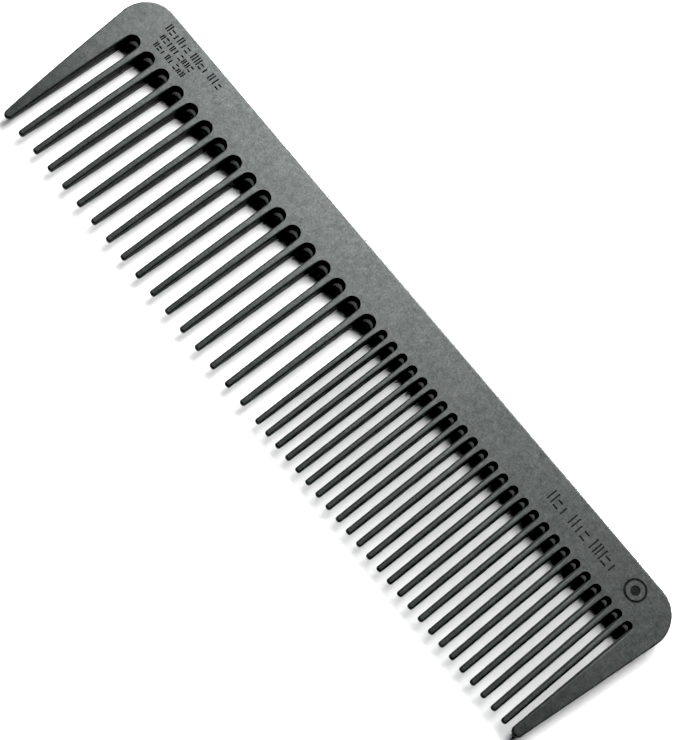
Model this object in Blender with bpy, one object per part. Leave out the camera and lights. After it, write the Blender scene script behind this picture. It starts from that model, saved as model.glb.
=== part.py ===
"""A two-pitch pet comb: one thin moulding lying on its flat spine with the tooth tips clear.

The spine is an even plate. Both faces curve in alike along the teeth, so the teeth get
thinner towards their tips while they stay on the plate's middle plane.
The spine, the two wide end teeth and the slender coarse and fine teeth are separate
objects, all fixed to one another. X runs along the spine with the coarse teeth at -X,
Y runs from the tooth tips to the back edge, and Z is up. Outlines are drawn with Y = 0
at the tips, and one empty carries them all to the origin under the comb's middle.
"""
import math

import bmesh
import bpy

MM = 0.001

# Driving dimensions, in millimetres.
WIDTH = 44.0                # tooth tips to back edge
TIP_THICKNESS = 1.4         # at the tooth tips
BACK_THICKNESS = 4.0        # of the spine and the teeth's roots
FLAT_FROM = 27.0            # from here to the back edge both faces are flat
COARSE_TEETH = 16
FINE_TEETH = 25
COARSE_PITCH = 5.03
FINE_PITCH = 3.30
SLOT_TOP = 33.8             # highest point of every slot, from the tips
COARSE_ROOT, COARSE_TIP = 2.12, 1.50    # tooth widths at the parting plane
FINE_ROOT, FINE_TIP = 1.73, 1.37
WALL_DRAFT = 0.100          # sideways lean of a tooth's wall, per unit of height
GUARD_TIP = 2.17            # width of the two wide end teeth at their tips
GUARD_FLARE = 0.106         # outward lean of their outer edges, per unit of length
FINE_GUARD_LEAN = 0.4       # how far the fine side's end tooth leans into its slot at the tip
CORNER_RADIUS = 7.6         # of the two outline corners at the back edge
JOINT_GAP = 0.3             # left between a tooth and the spine
TIP_ROUND = 0.45            # rounding of a slender tooth's tip
STATIONS = (27.0, 22.0, 17.0, 12.0, 8.0, 4.0)   # where a tooth's section is drawn
ARC_STEPS = 10              # straight pieces in a slot's round top
CORNER_STEPS = 14
TIP_STEPS = 7               # straight pieces down the rounding of a wide end tooth

COARSE_SLOT_RADIUS = (COARSE_PITCH - COARSE_ROOT) / 2
FINE_SLOT_RADIUS = (FINE_PITCH - FINE_ROOT) / 2
ROOT_LINE = SLOT_TOP - COARSE_SLOT_RADIUS   # Y of every tooth's root

CARRIER = "comb_frame"

FACE_GREY = (0.060, 0.062, 0.064, 1.0)
TOOTH_GREY = (0.045, 0.048, 0.048, 1.0)


def remove_everything():
    for item in list(bpy.data.objects):
        bpy.data.objects.remove(item)


def material(name, colour, roughness):
    made = bpy.data.materials.new(name)
    made.use_nodes = True
    shader = made.node_tree.nodes["Principled BSDF"]
    shader.inputs["Base Color"].default_value = colour
    shader.inputs["Roughness"].default_value = roughness
    shader.inputs["Metallic"].default_value = 0.0
    return made


def half_thickness(y):
    """Half the comb's thickness: even over the spine, curving in towards the tips."""
    fall = max(0.0, 1 - y / FLAT_FROM)
    return (BACK_THICKNESS - (BACK_THICKNESS - TIP_THICKNESS) * fall ** 2) / 2


def tooth_centres():
    """X of each slender tooth, coarse ones first, before the comb is centred."""
    coarse = [i * COARSE_PITCH for i in range(COARSE_TEETH)]
    first_fine = COARSE_TEETH * COARSE_PITCH
    fine = [first_fine + i * FINE_PITCH for i in range(FINE_TEETH)]
    return coarse, fine


def guard_inner_edges(coarse, fine):
    """X of the wide end teeth's inner edges: one slot away from the first slender tooth."""
    left = coarse[0] - COARSE_ROOT / 2 - 2 * COARSE_SLOT_RADIUS
    right = fine[-1] + FINE_ROOT / 2 + 2 * FINE_SLOT_RADIUS
    return left, right


def guard_outer(inner, side, y):
    """X of a wide end tooth's outer edge at a distance y from the tips."""
    return inner + side * (GUARD_TIP + GUARD_FLARE * y)


def arc(centre, radius, start, end, steps):
    """Points along an arc, both ends included; angles in degrees."""
    angles = [math.radians(start + (end - start) * i / steps) for i in range(steps + 1)]
    return [(centre[0] + radius * math.cos(a), centre[1] + radius * math.sin(a)) for a in angles]


def corner_arc(inner, side):
    """The outline's round corner, tangent to the flared outer edge and the back edge."""
    lean = math.degrees(math.atan(GUARD_FLARE))
    centre_y = WIDTH - CORNER_RADIUS
    edge_x = guard_outer(inner, side, centre_y)
    centre_x = edge_x - side * CORNER_RADIUS / math.cos(math.radians(lean))
    if side > 0:
        return arc((centre_x, centre_y), CORNER_RADIUS, -lean, 90, CORNER_STEPS)
    return arc((centre_x, centre_y), CORNER_RADIUS, 90, 180 + lean, CORNER_STEPS)


def slot_tops(coarse, fine):
    """Centre X and radius of every slot's round top, from left to right."""
    left, right = guard_inner_edges(coarse, fine)
    tops = [(left + COARSE_SLOT_RADIUS, COARSE_SLOT_RADIUS)]
    tops += [(x + COARSE_PITCH / 2, COARSE_SLOT_RADIUS) for x in coarse[:-1]]
    last_edge = coarse[-1] + COARSE_ROOT / 2
    first_edge = fine[0] - FINE_ROOT / 2
    tops.append(((last_edge + first_edge) / 2, (first_edge - last_edge) / 2))
    tops += [(x + FINE_PITCH / 2, FINE_SLOT_RADIUS) for x in fine[:-1]]
    tops.append((right - FINE_SLOT_RADIUS, FINE_SLOT_RADIUS))
    return tops


def spine_outline(coarse, fine):
    """Counter-clockwise outline of the spine, with a scallop over every slot."""
    left, right = guard_inner_edges(coarse, fine)
    points = [(guard_outer(left, -1, ROOT_LINE), ROOT_LINE)]
    for centre_x, radius in slot_tops(coarse, fine):
        spring = SLOT_TOP - radius
        if spring > ROOT_LINE:
            points.append((centre_x - radius, ROOT_LINE))
        points += arc((centre_x, spring), radius, 180, 0, ARC_STEPS)
        if spring > ROOT_LINE:
            points.append((centre_x + radius, ROOT_LINE))
    points.append((guard_outer(right, 1, ROOT_LINE), ROOT_LINE))
    points += corner_arc(right, 1)
    points += corner_arc(left, -1)
    return points


def plate(name, outline, centre_x, surface):
    """An even plate: the outline on the floor and its copy on the upper face."""
    mesh = bmesh.new()
    low = [mesh.verts.new(((x - centre_x) * MM, y * MM, 0)) for x, y in outline]
    high = [mesh.verts.new(((x - centre_x) * MM, y * MM, BACK_THICKNESS * MM)) for x, y in outline]
    mesh.faces.new(low[::-1])
    mesh.faces.new(high)
    for i in range(len(low)):
        j = (i + 1) % len(low)
        mesh.faces.new((low[i], low[j], high[j], high[i]))
    return finish(name, mesh, surface)


def section(left, right, y, share=1.0):
    """Six corners of a tooth at y: widest on the middle plane, narrower at both faces."""
    middle = BACK_THICKNESS / 2
    half = half_thickness(y) * share
    draft = WALL_DRAFT * half
    return [(left + draft, y, middle - half), (right - draft, y, middle - half), (right, y, middle),
            (right - draft, y, middle + half), (left + draft, y, middle + half), (left, y, middle)]


def bar(name, sections, centre_x, surface):
    """A tooth: a closed bar through its sections, from the root to the tip."""
    mesh = bmesh.new()
    rings = [[mesh.verts.new(((x - centre_x) * MM, y * MM, z * MM)) for x, y, z in ring]
             for ring in sections]
    for ring, following in zip(rings, rings[1:]):
        for i in range(len(ring)):
            j = (i + 1) % len(ring)
            mesh.faces.new((ring[i], following[i], following[j], ring[j]))
    mesh.faces.new(rings[0])
    mesh.faces.new(rings[-1][::-1])
    return finish(name, mesh, surface)


def tooth(name, x, root, tip, centre_x, surface):
    """A slender tooth, straight-tapered from its root to a softly rounded tip."""
    root_y = ROOT_LINE - JOINT_GAP
    sections = []
    for y in (root_y,) + STATIONS + (TIP_ROUND,):
        half = (tip + (root - tip) * (y - TIP_ROUND) / (root_y - TIP_ROUND)) / 2
        sections.append(section(x - half, x + half, y))
    for y, share in ((TIP_ROUND * 0.3, 0.85), (0.0, 0.5)):
        half = tip / 2 * share
        sections.append(section(x - half, x + half, y, share))
    return bar(name, sections, centre_x, surface)


def end_tooth(name, inner, side, lean, centre_x, surface):
    """A wide end tooth, with a round tip as wide as the tooth is there."""
    root_y = ROOT_LINE - JOINT_GAP
    radius = (GUARD_TIP + lean) / 2
    sections = []
    for y in (root_y,) + STATIONS + (radius,):
        inner_x = inner - side * lean * (root_y - y) / (root_y - radius)
        edges = sorted((inner_x, guard_outer(inner, side, y)))
        sections.append(section(edges[0], edges[1], y))
    low, high = sections[-1][5][0], sections[-1][2][0]
    middle, reach = (low + high) / 2, (high - low) / 2
    for step in range(1, TIP_STEPS + 1):
        angle = math.radians(80) * step / TIP_STEPS
        y = radius * (1 - math.sin(angle) / math.sin(math.radians(80)))
        half = reach * math.cos(angle)
        sections.append(section(middle - half, middle + half, y))
    return bar(name, sections, centre_x, surface)


def finish(name, mesh, surface):
    """Turn a bmesh into a named object on the comb's empty, with its faces pointing out."""
    bmesh.ops.recalc_face_normals(mesh, faces=mesh.faces)
    data = bpy.data.meshes.new(name)
    mesh.to_mesh(data)
    mesh.free()
    data.materials.append(surface)
    data.shade_smooth()
    data.set_sharp_from_angle(angle=math.radians(30))
    made = bpy.data.objects.new(name, data)
    bpy.context.scene.collection.objects.link(made)
    made.parent = bpy.data.objects[CARRIER]
    return made


def add_carrier():
    """The empty that puts the origin halfway between the tips and the back edge."""
    carrier = bpy.data.objects.new(CARRIER, None)
    carrier.location = (0, -WIDTH / 2 * MM, 0)
    bpy.context.scene.collection.objects.link(carrier)


def build():
    remove_everything()
    add_carrier()
    coarse, fine = tooth_centres()
    left, right = guard_inner_edges(coarse, fine)
    outline = spine_outline(coarse, fine)
    middle = (min(x for x, _ in outline) + max(x for x, _ in outline)) / 2

    plate("spine", outline, middle, material("spine plastic", FACE_GREY, 0.55))
    guard_surface = material("end tooth plastic", FACE_GREY, 0.55)
    end_tooth("end_tooth_coarse_side", left, -1, 0, middle, guard_surface)
    end_tooth("end_tooth_fine_side", right, 1, FINE_GUARD_LEAN, middle, guard_surface)

    tooth_surface = material("tooth plastic", TOOTH_GREY, 0.5)
    for number, x in enumerate(coarse, 1):
        tooth(f"coarse_tooth_{number:02d}", x, COARSE_ROOT, COARSE_TIP, middle, tooth_surface)
    for number, x in enumerate(fine, 1):
        tooth(f"fine_tooth_{number:02d}", x, FINE_ROOT, FINE_TIP, middle, tooth_surface)


build()
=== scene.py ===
"""A thin plastic grooming comb lying on a white table, lit low from behind its back edge."""
import math

import bpy
import numpy as np
from mathutils import Euler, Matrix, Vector
from mathutils.geometry import delaunay_2d_cdt


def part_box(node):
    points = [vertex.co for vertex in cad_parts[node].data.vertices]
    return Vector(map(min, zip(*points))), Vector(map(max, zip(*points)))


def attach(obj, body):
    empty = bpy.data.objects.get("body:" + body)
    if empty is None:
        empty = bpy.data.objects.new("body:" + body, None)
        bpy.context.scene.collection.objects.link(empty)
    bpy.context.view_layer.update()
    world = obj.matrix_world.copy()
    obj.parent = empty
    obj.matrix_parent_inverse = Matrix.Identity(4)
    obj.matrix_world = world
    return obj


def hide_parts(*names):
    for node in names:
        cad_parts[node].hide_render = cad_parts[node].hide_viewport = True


MM = 0.001

# The comb's plan, in millimetres: Y runs from the tooth tips to the back edge
WIDTH = 44.0
TIP_THICKNESS = 1.4
BACK_THICKNESS = 4.0
MIDDLE = BACK_THICKNESS / 2    # height of the parting plane
FLAT_FROM = 27.0               # both faces are flat from here to the back edge
COARSE_TEETH = 16
FINE_TEETH = 25
COARSE_ROOT, COARSE_TIP = 2.12, 1.50    # tooth widths at the parting plane
FINE_ROOT, FINE_TIP = 1.73, 1.37
COARSE_SLOT_RADIUS = 1.455
FINE_SLOT_RADIUS = 0.785
SLOT_TOP = 33.8                # highest point of every slot
TIP_DEPTH = 0.62               # length of a slender tooth's blunt end
TIP_BLUNTNESS = 2.4            # 2 is a half ellipse, more is squarer
GUARD_TIP = 2.17               # width of a wide end tooth at its tip
GUARD_FLARE = 0.106            # outward lean of its outer edge, per unit of length
FINE_GUARD_LEAN = 0.4          # how far the fine side's end tooth leans into its slot
CORNER_RADIUS = 7.6

# Its section: a seam at mid-height, walls that lean in from it, soft edges on both faces
WALL_DRAFT = 0.10              # of the teeth and slots, per unit of height
OUTER_DRAFT = 0.02
OUTER_EDGE = (0.36, 0.36)      # how far in and how far down an edge is rounded
SLOT_END_EDGE = (0.12, 0.12)
TOOTH_EDGE = (0.42, 0.42)
TIP_EDGE = (0.32, 0.40)
EDGE_CHANGE = 3.5              # length of the change from one of these to the next
SEAM_RIDGE = 0.02              # how far the seam stands out
SEAM_HALF = 0.05               # half its height
FOOT_TOP = -0.16               # a slot's end flares out below the seam, from here down
FOOT_REACH = 0.65              # how far towards the tips
FOOT_HIGHLIGHT_GLOW = 0.085              # painted highlight: the flare glows faintly in place of the light it catches
FOOT_RISE = 0.7                # below 1, the glow is strongest nearer the flare's top
FOOT_FOCUS = 1.5               # how closely it keeps to the middle of the slot's end

# What an outline point belongs to
TOOTH, SLOT_END, OUTER = range(3)

# Straight pieces in each curve or run
EDGE_STEPS = 6
FOOT_STEPS = 8
SLOT_STEPS = 20
TIP_STEPS = 14
CORNER_STEPS = 28
SIDE_STEPS = 24
SHARP_ANGLE = 32               # degrees; edges that turn more than this look sharp

# Filling a face with triangles
INSIDE_ONLY = 1                # keep only the triangles inside a loop
SAME_POINT = 1e-6              # points closer than this are one

# Shallow marks pressed into the upper face
MARK_DEPTH = 0.10
STROKE = 0.36                  # width of a stroke
SIGNS = ("two", "dashes", "one", "two", "one", "dashes", "two")    # shapes, in turn
TALL_EVERY = 4                 # every fourth sign is tall, and so is the first of a group
LEFT_INK, RIGHT_SHADE = 1.0, 0.85    # how dark the marks are at the two ends: printed on the left, painted shade in the recesses on the right
# Each row: where it starts, a sign's width, the step to the next sign, the heights of
# tall and small signs, the number of signs in each group, and the extra gap after a group
MARK_ROWS = (
    ((-80.0, 41.0), 1.0, 1.32, 2.0, 1.35, (6, 4, 3), 0.7),
    ((-79.0, 38.4), 0.85, 1.13, 1.45, 1.45, (5, 4), 0.5),
    ((-78.5, 36.2), 0.85, 1.13, 1.45, 1.1, (3, 2, 3), 0.5),
    ((51.4, 38.9), 1.45, 1.85, 2.8, 1.95, (3, 3, 4), 1.15),
)
EMBLEM = (77.8, 39.3)          # middle of the ring and its disc
RING_OUTER = (2.6, 45)         # radius, and number of points
RING_INNER = (2.1, 36)
DISC = (1.1, 24)

# Plastic
CHARCOAL = (0.012, 0.0135, 0.013, 1.0)
PALE_CHARCOAL = (0.022, 0.0235, 0.023, 1.0)
WARM_CHARCOAL = (0.021, 0.0195, 0.0195, 1.0)
FLECK = (0.06, 0.062, 0.06, 1.0)
# colour of the marks' floors: printed marks on the left, painted shade in the recesses on the right
INK_AND_SHADE = (0.006, 0.006, 0.006, 1.0)
# tint of the painted highlight that glows at the foot of each slot's end
HIGHLIGHT_GLOW_COLOUR = (0.92, 1.0, 0.98, 1.0)
# Noises over millimetres: scale, detail, distortion, roughness
SWIRL = (0.16, 4.0, 2.2, 0.62)
MOTTLE = (0.75, 5.0, 0.8, 0.65)
GRAIN = (5.0, 3.0, 0.0, 0.6)
SPECKLE = (2.6, 2.0, 0.0, 0.75)
WARM_PATCHES = (0.09, 2.0, 0.0, 0.5)
TONE_RANGE = (0.36, 0.64)      # of the mottled tone, from darkest to lightest
# What a noise or an attribute does: from a low to a high value, what these two become
WARM_SHARE = (0.42, 0.62, 0.0, 0.5)
FLECK_SHARE = (0.62, 0.8, 0.0, 0.35)
FACE_ROUGHNESS = (0.3, 0.7, 0.35, 0.41)
# painted shade: the glare is weakened along rounded edges
EDGE_SHADE_GLOSS = (0.0, 1.0, 0.5, 0.12)
SPECKLE_GLOSS = (0.3, 0.7, 0.66, 1.34)
TONE_GLOSS = (*TONE_RANGE, 0.90, 1.10)
INK_AND_SHADE_GLOSS = (0.0, 1.0, 1.0, 0.1)
WALL_ROUGHER = 0.25            # added to the roughness on the walls
SWIRL_PART, MOTTLE_PART = 0.5, 0.5    # of the tone
GRAIN_PART = 0.25              # of the bump, next to the mottle
BUMP_STRENGTH, BUMP_DISTANCE = 0.2, 0.00002
# Table
TABLE_DARK = (0.80, 0.80, 0.80, 1.0)
TABLE_PALE = (0.84, 0.84, 0.84, 1.0)
TABLE_SPECKLE = (900.0, 2.0, 0.0, 0.5)    # over metres
TABLE_ROUGHNESS = 0.7

# Camera, in millimetres and degrees
CAMERA_PLACE = (60.77, -119.88, 387.11)
CAMERA_TURN = (17.214, -8.080, 50.189)
LENS = 93.97
SENSOR = 36.0
CLIP = (0.01, 100.0)           # nearest and farthest that is drawn, in metres

# Studio, in metres and watts
TABLE_REACH = 6.0
SHEEN_PLACE, SHEEN_SIZE, SHEEN_POWER = (-0.35, 0.80, 0.68), (0.24, 0.30), 64.0
SHEEN_COLOUR = (0.92, 1.0, 0.98)
WIDE_PLACE, WIDE_SIZE, WIDE_POWER = (-0.22, 0.80, 0.72), (1.30, 0.30), 52.0
BACKDROP = (0.92, 0.92, 0.92, 1.0)
BLACK_LEVEL = 0.016            # light below this shows as black


def half_thickness(y):
    """Half the comb's thickness: even over the spine, curving in towards the tips."""
    fall = np.clip(1 - y / FLAT_FROM, 0, None)
    return (BACK_THICKNESS - (BACK_THICKNESS - TIP_THICKNESS) * fall ** 2) / 2


# ---------------------------------------------------------------- outline


def arc(centre, radius, start, end, steps):
    """Points along an arc, both ends included; angles in degrees."""
    angles = [math.radians(start + (end - start) * i / steps) for i in range(steps + 1)]
    return [(centre[0] + radius * math.cos(a), centre[1] + radius * math.sin(a)) for a in angles]


def between(start, end, steps):
    """Points inside a straight run, without its ends."""
    return [(start[0] + (end[0] - start[0]) * i / steps, start[1] + (end[1] - start[1]) * i / steps)
            for i in range(1, steps)]


def tooth_centre(name):
    """X of the middle of a tooth of the frame, in millimetres."""
    low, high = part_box(name)
    return (low[0] + high[0]) / 2 / MM


def blunt_tip(centre_x, half_width):
    """The blunt round end of a slender tooth, from its left side to its right one."""
    points = []
    for step in range(TIP_STEPS + 1):
        angle = math.pi * (1 + step / TIP_STEPS)
        across, along = math.cos(angle), math.sin(angle)
        x = math.copysign(abs(across) ** (2 / TIP_BLUNTNESS), across)
        y = -abs(along) ** (2 / TIP_BLUNTNESS)
        points.append((centre_x + half_width * x, TIP_DEPTH * (1 + y)))
    return points


def guard_outer(inner, side, y):
    """X of a wide end tooth's outer edge at a distance y from the tips."""
    return inner + side * (GUARD_TIP + GUARD_FLARE * y)


def guard_tip(inner, side, lean):
    """The round end of a wide end tooth, from left to right."""
    radius = (GUARD_TIP + lean) / 2
    centre_x = inner + side * (radius - lean)
    return arc((centre_x, radius), radius, 180, 360, CORNER_STEPS)


def corner(inner, side):
    """The round corner between a flared outer edge and the back edge, counter-clockwise."""
    lean = math.degrees(math.atan(GUARD_FLARE))
    centre_y = WIDTH - CORNER_RADIUS
    reach = CORNER_RADIUS / math.cos(math.radians(lean))
    centre_x = guard_outer(inner, side, centre_y) - side * reach
    start, end = (-lean, 90) if side > 0 else (90, 180 + lean)
    return arc((centre_x, centre_y), CORNER_RADIUS, start, end, CORNER_STEPS)


def slender_teeth():
    """(middle X, root width, tip width) of each slender tooth, from left to right."""
    coarse = [tooth_centre(f"coarse_tooth_{n:02d}") for n in range(1, COARSE_TEETH + 1)]
    fine = [tooth_centre(f"fine_tooth_{n:02d}") for n in range(1, FINE_TEETH + 1)]
    teeth = [(x, COARSE_ROOT, COARSE_TIP) for x in coarse]
    teeth += [(x, FINE_ROOT, FINE_TIP) for x in fine]
    return teeth


def comb_outline():
    """The comb's counter-clockwise outline at its seam, and what each point belongs to."""
    teeth = slender_teeth()
    left = teeth[0][0] - COARSE_ROOT / 2 - 2 * COARSE_SLOT_RADIUS
    right = teeth[-1][0] + FINE_ROOT / 2 + 2 * FINE_SLOT_RADIUS
    points, kinds = [], []

    def add(more, kind):
        points.extend(more)
        kinds.extend([kind] * len(more))

    def add_side(end, kind=TOOTH):
        add(between(points[-1], end, SIDE_STEPS), kind)

    def add_slot_top(start_x, end_x):
        radius = (end_x - start_x) / 2
        top = arc(((start_x + end_x) / 2, SLOT_TOP - radius), radius, 180, 0, SLOT_STEPS)
        add_side(top[0])
        add(top, SLOT_END)

    add(guard_tip(left, -1, 0), TOOTH)
    edge = left
    for x, root, tip in teeth:
        add_slot_top(edge, x - root / 2)
        end = blunt_tip(x, tip / 2)
        add_side(end[0])
        add(end, TOOTH)
        edge = x + root / 2
    add_slot_top(edge, right)
    end = guard_tip(right, 1, FINE_GUARD_LEAN)
    add_side(end[0])
    add(end, TOOTH)
    for side, inner in ((1, right), (-1, left)):
        turn = corner(inner, side)
        add_side(turn[0], OUTER)
        add(turn, OUTER)
    add_side(points[0], OUTER)
    return np.array(points), np.array(kinds)


def outward(points):
    """Unit normal of a closed counter-clockwise outline at each of its points."""
    step = np.roll(points, -1, axis=0) - points
    step /= np.linalg.norm(step, axis=1)[:, None]
    tangent = step + np.roll(step, 1, axis=0)
    tangent /= np.linalg.norm(tangent, axis=1)[:, None]
    return np.column_stack([tangent[:, 1], -tangent[:, 0]])


# ---------------------------------------------------------------- section


def smooth(value):
    """A soft step from 0 to 1 as value goes from 0 to 1."""
    value = np.clip(value, 0, 1)
    return value * value * (3 - 2 * value)


def edge_reach(y, kinds):
    """How far in and how far down the edges of both faces are rounded at each point."""
    below_root = smooth((SLOT_TOP - y) / EDGE_CHANGE)
    above_tip = smooth(y / EDGE_CHANGE)
    reach = []
    for outer, slot_end, tooth, tip in zip(OUTER_EDGE, SLOT_END_EDGE, TOOTH_EDGE, TIP_EDGE):
        side = slot_end + (tooth - slot_end) * below_root
        side = tip + (side - tip) * above_tip
        edge = tip + (outer - tip) * above_tip
        reach.append(np.where(kinds == OUTER, edge, side))
    return reach


def section_rows(half, draft, across, down):
    """Inset, height over the middle plane, "edge" and "side" of each row of points, going up."""
    edge = []
    for step in range(EDGE_STEPS + 1):
        angle = math.pi / 2 * step / EDGE_STEPS
        z = half - down * (1 - math.sin(angle))
        inset = draft * z + across * (1 - math.cos(angle))
        edge.append((inset, z, math.sin(2 * angle), math.cos(angle) ** 2))
    rows = [(inset, -z, turned, sided) for inset, z, turned, sided in edge[::-1]]
    lowest = rows[-1][1]
    for step in range(1, FOOT_STEPS + 1):
        z = lowest + (FOOT_TOP * half / MIDDLE - lowest) * step / FOOT_STEPS
        rows.append((draft * -z, z, 0.0, 1.0))
    for offset, ridge in ((-SEAM_HALF, 0.0), (0.0, SEAM_RIDGE), (SEAM_HALF, 0.0)):
        rows.append((draft * abs(offset) - ridge, np.full_like(half, offset), 0.0, 1.0))
    return rows + edge


def foot_depth(z, kinds):
    """How far down the flared foot of a slot's end each point is, from 0 to 1."""
    depth = np.clip((FOOT_TOP - z) / (MIDDLE + FOOT_TOP), 0, 1)
    return np.where(kinds == SLOT_END, depth, 0)


def wall_rings(points, kinds):
    """The rings of 3-D points that make the comb's wall, and their point attributes."""
    normals = outward(points)
    half = half_thickness(points[:, 1])
    across, down = edge_reach(points[:, 1], kinds)
    draft = np.where(kinds == OUTER, OUTER_DRAFT, WALL_DRAFT)
    inner = (kinds != OUTER).astype(float)
    facing = np.clip(-normals[:, 1], 0, 1) ** FOOT_FOCUS
    rings, layers = [], {"edge": [], "side": [], "foot": []}
    for inset, z, turned, sided in section_rows(half, draft, across, down):
        plan = points - normals * inset[:, None]
        depth = foot_depth(z, kinds)
        plan[:, 1] -= FOOT_REACH * depth
        z = z * half_thickness(plan[:, 1]) / half
        rings.append(np.column_stack([plan, MIDDLE + z]))
        # edge: along the rounded edges of teeth and slots the glare is weakened, as painted shade
        layers["edge"].extend(turned * inner)
        layers["side"].extend([sided] * len(points))
        # foot: where the painted highlight glows on a slot end's flared foot
        layers["foot"].extend(np.sin(np.pi * depth ** FOOT_RISE) * facing)
    return rings, layers


# ---------------------------------------------------------------- marks


def block(x, y, width, height):
    """Counter-clockwise outline of an upright block with its lower left corner at (x, y)."""
    return [(x, y), (x + width, y), (x + width, y + height), (x, y + height)]


def sign(shape, x, y, width, height):
    """Outlines of one meaningless sign: one upright, two uprights or two level dashes."""
    if shape == "one":
        return [block(x + (width - STROKE) / 2, y, STROKE, height)]
    if shape == "two":
        return [block(x, y, STROKE, height), block(x + width - STROKE, y, STROKE, height)]
    return [block(x, y, width, STROKE), block(x, y + height - STROKE, width, STROKE)]


def sign_row(start, width, step, tall, small, groups, gap):
    """A row of plain strokes in groups, each group starting with a tall sign."""
    loops = []
    x, number = start[0], 0
    for count in groups:
        for place in range(count):
            is_tall = place == 0 or number % TALL_EVERY == TALL_EVERY - 1
            height = tall if is_tall else small
            loops += sign(SIGNS[number % len(SIGNS)], x, start[1] - tall / 2, width, height)
            x += step
            number += 1
        x += gap
    return loops


def circle(centre, radius, count):
    """A counter-clockwise circle of that many points."""
    return arc(centre, radius, 0, 360 - 360 / count, count - 1)


def mark_loops():
    """Outlines pressed into the upper face: plain signs in rows, and a ring round a disc."""
    loops = []
    for row in MARK_ROWS:
        loops += sign_row(*row)
    loops.append(circle(EMBLEM, *RING_OUTER))
    loops.append(circle(EMBLEM, *RING_INNER)[::-1])
    loops.append(circle(EMBLEM, *DISC))
    return loops


# ---------------------------------------------------------------- mesh


def turns_left(loop):
    """Whether a closed outline runs counter-clockwise."""
    return sum(x * v - u * y for (x, y), (u, v) in zip(loop, loop[1:] + loop[:1])) > 0


def fill(loops):
    """Triangles inside the first loop, each with the number of other loops round it."""
    coords = [Vector((x, y)) for loop in loops for x, y in loop]
    faces, start = [], 0
    for loop in loops:
        corners = list(range(start, start + len(loop)))
        faces.append(corners if turns_left(loop) else corners[::-1])
        start += len(loop)
    made, _, triangles, origin, _, inside = delaunay_2d_cdt(
        coords, [], faces, INSIDE_ONLY, SAME_POINT)
    names = [old[0] if old else -1 for old in origin]
    return [([names[v] for v in tri], len(set(ids)) - 1) for tri, ids in zip(triangles, inside)]


def wall_faces(count, rings):
    """Quads between each ring of count points and the ring above it."""
    faces = []
    for low in range(0, (rings - 1) * count, count):
        high = low + count
        for i in range(count):
            j = (i + 1) % count
            faces.append((low + i, low + j, high + j, high + i))
    return faces


def add_marks(vertices, layers, upper, marks):
    """Add the marks' points at the face and at their floor; return the floor's by number."""
    lower = {}
    for loop in marks:
        for x, y in loop:
            number = len(upper)
            upper[number] = len(vertices)
            lower[number] = len(vertices) + 1
            vertices += [(x, y, BACK_THICKNESS), (x, y, BACK_THICKNESS - MARK_DEPTH)]
            for name in ("edge", "side", "foot"):
                layers[name] += [0.0, 0.0]
            # the marks' floors are darkened: printed on the left, painted shade in the recesses on
            # the right
            layers["ink_and_shade"] += [0.0, LEFT_INK if x < 0 else RIGHT_SHADE]
    return lower


def mark_walls(upper, lower, marks, number):
    """Quads down the sides of every mark, whose points are numbered from number on."""
    faces = []
    for loop in marks:
        for i in range(len(loop)):
            a, b = number + i, number + (i + 1) % len(loop)
            faces.append((lower[b], lower[a], upper[a], upper[b]))
        number += len(loop)
    return faces


def from_above(ring):
    """A ring's points without their heights."""
    return [(x, y) for x, y, _ in ring]


def comb_mesh():
    """One closed mesh of the comb, in millimetres: points, smooth and flat faces, attributes."""
    points, kinds = comb_outline()
    rings, layers = wall_rings(points, kinds)
    count = len(points)
    vertices = [p for ring in rings for p in ring]
    layers["ink_and_shade"] = [0.0] * len(vertices)
    marks = mark_loops()
    upper = {i: (len(rings) - 1) * count + i for i in range(count)}
    lower = add_marks(vertices, layers, upper, marks)

    flat = [tuple(tri[::-1]) for tri, _ in fill([from_above(rings[0])])]
    for tri, depth in fill([from_above(rings[-1])] + marks):
        level = lower if depth % 2 else upper
        flat.append(tuple(level[v] for v in tri))
    flat += mark_walls(upper, lower, marks, count)
    return vertices, wall_faces(count, len(rings)), flat, layers


def make_comb(material):
    """The comb as one object in the frame's place."""
    vertices, smooth_faces, flat_faces, layers = comb_mesh()
    placed = [(x * MM, (y - WIDTH / 2) * MM, z * MM) for x, y, z in vertices]
    data = bpy.data.meshes.new("moulded_comb")
    data.from_pydata(placed, [], smooth_faces + flat_faces)
    data.materials.append(material)
    for name, values in layers.items():
        layer = data.attributes.new(name, "FLOAT", "POINT")
        layer.data.foreach_set("value", values)
    data.update()
    data.validate()
    data.set_sharp_from_angle(angle=math.radians(SHARP_ANGLE))
    is_smooth = [True] * len(smooth_faces) + [False] * len(flat_faces)
    data.polygons.foreach_set("use_smooth", is_smooth)
    comb = bpy.data.objects.new("moulded_comb", data)
    bpy.context.scene.collection.objects.link(comb)
    return comb


# ---------------------------------------------------------------- materials


class Nodes:
    """A small helper that adds and links shader nodes."""

    def __init__(self, material):
        material.use_nodes = True
        self.tree = material.node_tree
        self.tree.nodes.clear()

    def add(self, kind, inputs=None, **settings):
        """A new node, with a value or a link for each of these inputs."""
        node = self.tree.nodes.new(kind)
        for key, value in settings.items():
            setattr(node, key, value)
        for key, value in (inputs or {}).items():
            self.plug(node, key, value)
        return node

    def plug(self, node, key, value):
        """Link value into a node's input, or set it there if it is a plain number or colour."""
        socket = node.inputs[key]
        if isinstance(value, bpy.types.NodeSocket):
            self.tree.links.new(value, socket)
        else:
            socket.default_value = value

    def finish(self, inputs):
        """Make the material's surface a Principled shader with these inputs."""
        shader = self.add("ShaderNodeBsdfPrincipled", inputs)
        output = self.add("ShaderNodeOutputMaterial")
        self.tree.links.new(shader.outputs[0], output.inputs["Surface"])


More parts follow.
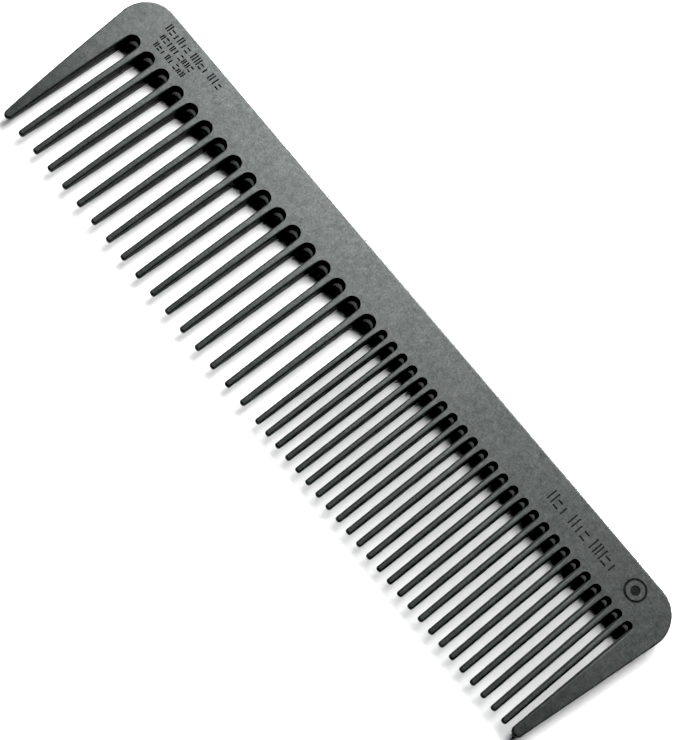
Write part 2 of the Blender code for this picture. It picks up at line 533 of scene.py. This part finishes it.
def noise(nodes, place, scale, detail, distortion, roughness):
    """A noise over place, mostly between 0.3 and 0.7."""
    made = nodes.add("ShaderNodeTexNoise", {"Vector": place, "Scale": scale, "Detail": detail,
                                            "Distortion": distortion, "Roughness": roughness})
    return made.outputs["Fac"]


def remap(nodes, value, low, high, to_low, to_high):
    """value from low..high to to_low..to_high, clamped."""
    made = nodes.add("ShaderNodeMapRange", {"Value": value, "From Min": low, "From Max": high,
                                            "To Min": to_low, "To Max": to_high})
    return made.outputs["Result"]


def multiply(nodes, first, second):
    """first times second."""
    return nodes.add("ShaderNodeMath", {0: first, 1: second}, operation="MULTIPLY").outputs[0]


def plus(nodes, first, second):
    """first plus second."""
    return nodes.add("ShaderNodeMath", {0: first, 1: second}, operation="ADD").outputs[0]


def mix_colour(nodes, factor, first, second):
    """first where factor is 0 and second where it is 1."""
    made = nodes.add("ShaderNodeMix", {"Factor": factor}, data_type="RGBA")
    colours = [socket for socket in made.inputs if socket.type == "RGBA"]
    for socket, value in zip(colours, (first, second)):
        if isinstance(value, bpy.types.NodeSocket):
            nodes.tree.links.new(value, socket)
        else:
            socket.default_value = value
    return [socket for socket in made.outputs if socket.type == "RGBA"][0]


def attribute(nodes, name):
    """One of the comb's point attributes."""
    return nodes.add("ShaderNodeAttribute", attribute_name=name).outputs["Fac"]


def plastic_colour(nodes, place, tone, grain, ink_and_shade):
    """Charcoal that follows the tone, warmer in places, with pale flecks, and dark marks: printed
    on the left, painted shade in the recesses on the right.
    """
    colour = mix_colour(nodes, remap(nodes, tone, *TONE_RANGE, 0.0, 1.0), CHARCOAL, PALE_CHARCOAL)
    warmth = remap(nodes, noise(nodes, place, *WARM_PATCHES), *WARM_SHARE)
    colour = mix_colour(nodes, warmth, colour, WARM_CHARCOAL)
    colour = mix_colour(nodes, remap(nodes, grain, *FLECK_SHARE), colour, FLECK)
    return mix_colour(nodes, ink_and_shade, colour, INK_AND_SHADE)


def plastic_roughness(nodes, mottle):
    """Rougher where the mottle is high, and more so on the walls than on the faces."""
    rough = remap(nodes, mottle, *FACE_ROUGHNESS)
    return plus(nodes, rough, multiply(nodes, attribute(nodes, "side"), WALL_ROUGHER))


def plastic_gloss(nodes, place, tone, ink_and_shade):
    """Strength of the glare: weakened on rounded edges as painted shade, weak in the marks,
    speckled everywhere.
    """
    gloss = remap(nodes, attribute(nodes, "edge"), *EDGE_SHADE_GLOSS)
    speckle = noise(nodes, place, *SPECKLE)
    gloss = multiply(nodes, gloss, remap(nodes, speckle, *SPECKLE_GLOSS))
    gloss = multiply(nodes, gloss, remap(nodes, tone, *TONE_GLOSS))
    return multiply(nodes, gloss, remap(nodes, ink_and_shade, *INK_AND_SHADE_GLOSS))


def comb_plastic():
    """Matt charcoal plastic filled with chopped carbon: mottled and speckled, with a painted
    highlight glowing at the foot of each slot's end.
    """
    material = bpy.data.materials.new("comb_plastic")
    nodes = Nodes(material)
    coordinates = nodes.add("ShaderNodeTexCoord")
    place = nodes.add("ShaderNodeMapping", {"Vector": coordinates.outputs["Object"],
                                            "Scale": (1 / MM, 1 / MM, 1 / MM)}).outputs["Vector"]
    swirl = noise(nodes, place, *SWIRL)
    mottle = noise(nodes, place, *MOTTLE)
    grain = noise(nodes, place, *GRAIN)
    tone = plus(nodes, multiply(nodes, swirl, SWIRL_PART), multiply(nodes, mottle, MOTTLE_PART))
    ink_and_shade = attribute(nodes, "ink_and_shade")

    height = plus(nodes, multiply(nodes, grain, GRAIN_PART), mottle)
    bump = nodes.add("ShaderNodeBump", {"Height": height, "Strength": BUMP_STRENGTH,
                                        "Distance": BUMP_DISTANCE})
    # painted highlight: the foot of each slot's end glows in place of the light it would catch
    painted_highlight = multiply(nodes, attribute(nodes, "foot"), FOOT_HIGHLIGHT_GLOW)
    nodes.finish({"Base Color": plastic_colour(nodes, place, tone, grain, ink_and_shade),
                  "Roughness": plastic_roughness(nodes, mottle),
                  "Specular IOR Level": plastic_gloss(nodes, place, tone, ink_and_shade),
                  "Emission Color": HIGHLIGHT_GLOW_COLOUR,
                  "Emission Strength": painted_highlight,
                  "Normal": bump.outputs["Normal"]})
    return material


def table_top():
    """Matt white table laminate with the faintest unevenness."""
    material = bpy.data.materials.new("table_top")
    nodes = Nodes(material)
    coordinates = nodes.add("ShaderNodeTexCoord")
    speckle = noise(nodes, coordinates.outputs["Object"], *TABLE_SPECKLE)
    colour = mix_colour(nodes, speckle, TABLE_DARK, TABLE_PALE)
    nodes.finish({"Base Color": colour, "Roughness": TABLE_ROUGHNESS})
    return material


# ---------------------------------------------------------------- studio


def make_floor():
    """A wide white table under the comb."""
    data = bpy.data.meshes.new("table")
    r = TABLE_REACH
    data.from_pydata([(-r, -r, 0), (r, -r, 0), (r, r, 0), (-r, r, 0)], [], [(0, 1, 2, 3)])
    data.materials.append(table_top())
    floor = bpy.data.objects.new("table", data)
    bpy.context.scene.collection.objects.link(floor)


def make_light(name, place, size, power):
    """A rectangular light of that size in metres, aimed at the comb."""
    light = bpy.data.lights.new(name, "AREA")
    light.shape = "RECTANGLE"
    light.size, light.size_y = size
    light.energy = power
    box = bpy.data.objects.new(name, light)
    box.location = place
    box.rotation_euler = Vector(place).to_track_quat("Z", "Y").to_euler()
    bpy.context.scene.collection.objects.link(box)
    return box


def make_lights():
    """One light that only makes the plastic's glare, and a wide one that lights the rest."""
    sheen = make_light("sheen_softbox", SHEEN_PLACE, SHEEN_SIZE, SHEEN_POWER)
    sheen.visible_diffuse = False
    sheen.data.color = SHEEN_COLOUR
    wide = make_light("wide_softbox", WIDE_PLACE, WIDE_SIZE, WIDE_POWER)
    wide.visible_glossy = False


def make_world():
    """An unlit room that shows as a pale backdrop behind the table."""
    world = bpy.data.worlds.new("room")
    bpy.context.scene.world = world
    world.use_nodes = True
    tree = world.node_tree
    tree.nodes.clear()
    dark = tree.nodes.new("ShaderNodeBackground")
    dark.inputs["Strength"].default_value = 0.0
    backdrop = tree.nodes.new("ShaderNodeBackground")
    backdrop.inputs["Color"].default_value = BACKDROP
    rays = tree.nodes.new("ShaderNodeLightPath")
    pick = tree.nodes.new("ShaderNodeMixShader")
    output = tree.nodes.new("ShaderNodeOutputWorld")
    tree.links.new(rays.outputs["Is Camera Ray"], pick.inputs[0])
    tree.links.new(dark.outputs[0], pick.inputs[1])
    tree.links.new(backdrop.outputs[0], pick.inputs[2])
    tree.links.new(pick.outputs[0], output.inputs["Surface"])


def make_camera():
    """A long lens looking down at the comb from the tips' side."""
    data = bpy.data.cameras.new("camera")
    data.sensor_width = SENSOR
    data.lens = LENS
    data.clip_start, data.clip_end = CLIP
    camera = bpy.data.objects.new("camera", data)
    camera.location = [value * MM for value in CAMERA_PLACE]
    camera.rotation_euler = Euler([math.radians(value) for value in CAMERA_TURN])
    bpy.context.scene.collection.objects.link(camera)
    bpy.context.scene.camera = camera


def set_view():
    """Plain colours, with the deepest shadows taken down to black."""
    view = bpy.context.scene.view_settings
    view.view_transform = "Standard"
    view.use_curve_mapping = True
    view.curve_mapping.black_level = (BLACK_LEVEL, BLACK_LEVEL, BLACK_LEVEL)
    view.curve_mapping.update()


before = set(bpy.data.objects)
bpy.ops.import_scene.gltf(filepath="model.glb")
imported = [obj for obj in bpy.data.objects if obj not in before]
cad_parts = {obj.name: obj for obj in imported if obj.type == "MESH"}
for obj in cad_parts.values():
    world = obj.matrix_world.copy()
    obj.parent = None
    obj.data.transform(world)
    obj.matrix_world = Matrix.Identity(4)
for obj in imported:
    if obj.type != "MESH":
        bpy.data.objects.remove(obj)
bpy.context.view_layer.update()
comb = make_comb(comb_plastic())
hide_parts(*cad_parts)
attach(comb, "root")
make_floor()
make_lights()
make_world()
make_camera()
set_view()
